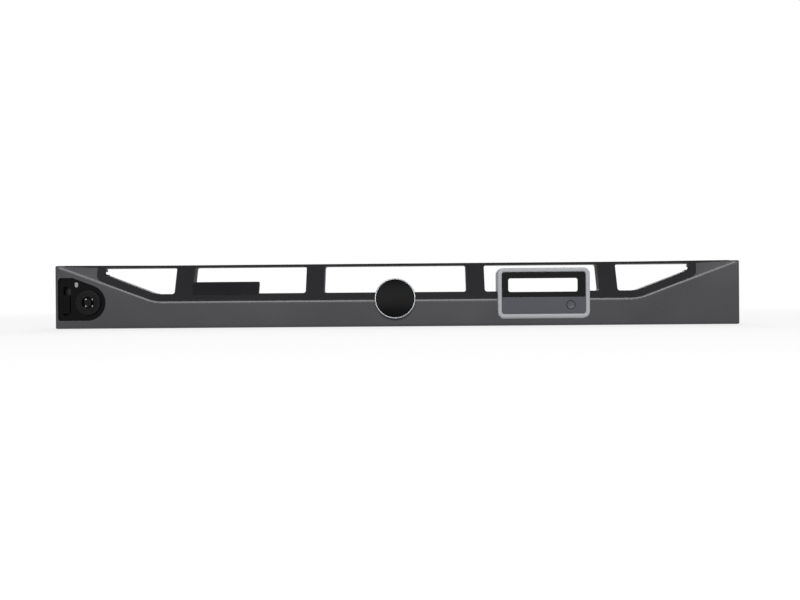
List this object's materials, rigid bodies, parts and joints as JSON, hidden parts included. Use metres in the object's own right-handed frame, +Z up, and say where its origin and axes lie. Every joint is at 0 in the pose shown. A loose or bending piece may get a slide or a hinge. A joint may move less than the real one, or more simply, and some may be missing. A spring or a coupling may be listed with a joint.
{
  "type": "server front bezel",
  "caption": "Front bezel for a 1U rack server: grey fascia with a rising crease, black window frame, round badge, display module, tubular lock and sliding latch.",
  "frame": {"origin": "middle of the underside, halfway along the width and the depth", "axes": "+X along the bezel to its right end seen from the front, +Y from the front to the back, +Z up"},
  "size_m": [0.47, 0.0334, 0.0437],
  "materials": {
    "grey_paint": "fine satin grey paint on a moulding",
    "frame_plastic": "matt black moulded plastic",
    "gloss_black": "gloss black plastic",
    "bright_ring": "satin bright plating",
    "silver_plastic": "light grey satin moulding",
    "panel_black": "smooth black plastic",
    "panel_grey": "fine matt grey plastic",
    "button_grey": "matt grey plastic",
    "board": "circuit board",
    "switch_plastic": "black plastic",
    "white_plastic": "white plastic",
    "cream_plastic": "cream plastic",
    "lock_metal": "black finished zinc casting",
    "plated_steel": "zinc plated sheet steel",
    "pin_metal": "pale turned metal",
    "spring_steel": "spring wire",
    "brass": "gilt contacts",
    "ribbon": "grey flat cable"
  },
  "bodies": {
    "bezel": {"fascia": "grey_paint", "window_frame": "frame_plastic", "frame_screws": "plated_steel", "nameplate": "gloss_black", "badge_carrier": "frame_plastic", "badge_ring": "bright_ring", "badge_disc": "gloss_black", "badge_screws": "plated_steel", "module_surround": "silver_plastic", "display_panel": "panel_black", "control_panel": "panel_grey", "module_board": "board", "module_switch": "switch_plastic", "board_connector": "cream_plastic", "board_screws": "plated_steel", "module_cover": "frame_plastic", "module_screws": "plated_steel", "lock_panel": "frame_plastic", "lock_marker": "white_plastic", "panel_screws": "plated_steel", "lock_housing": "lock_metal", "lock_nut": "plated_steel", "latch_guide": "frame_plastic", "latch_spring": "spring_steel", "latch_screws": "plated_steel", "hinge_plate": "plated_steel", "hinge_screws": "plated_steel", "contact_housing": "switch_plastic", "contact_pads": "brass", "contact_screws": "plated_steel", "ribbon_cable": "ribbon"},
    "latch": {"latch_tab": "frame_plastic", "latch_plate": "plated_steel"},
    "lock_rotor": {"lock_plug": "lock_metal", "lock_cam": "plated_steel", "cam_screw": "plated_steel"},
    "pins": {"lock_pins": "pin_metal"},
    "button": {"module_button": "button_grey", "switch_stem": "white_plastic"}
  },
  "joints": [
    {"name": "latch_lift", "type": "slide", "parent": "bezel", "child": "latch", "axis": [0, 0, 1], "range_m": [0, 0.005], "stiffness_N_per_m": 300, "springref_m": -0.003, "deforming": ["latch_spring"]},
    {"name": "lock_turn", "type": "hinge", "parent": "bezel", "child": "lock_rotor", "pos_m": [-0.212, 0, 0.018], "axis": [0, 1, 0], "range_deg": [0, 90]},
    {"name": "pin_press", "type": "slide", "parent": "lock_rotor", "child": "pins", "axis": [0, 1, 0], "range_m": [0, 0.0012], "stiffness_N_per_m": 400, "springref_m": -0.001},
    {"name": "button_press", "type": "slide", "parent": "bezel", "child": "button", "axis": [0, 1, 0], "range_m": [0, 0.0006], "stiffness_N_per_m": 600, "springref_m": -0.0005}
  ]
}
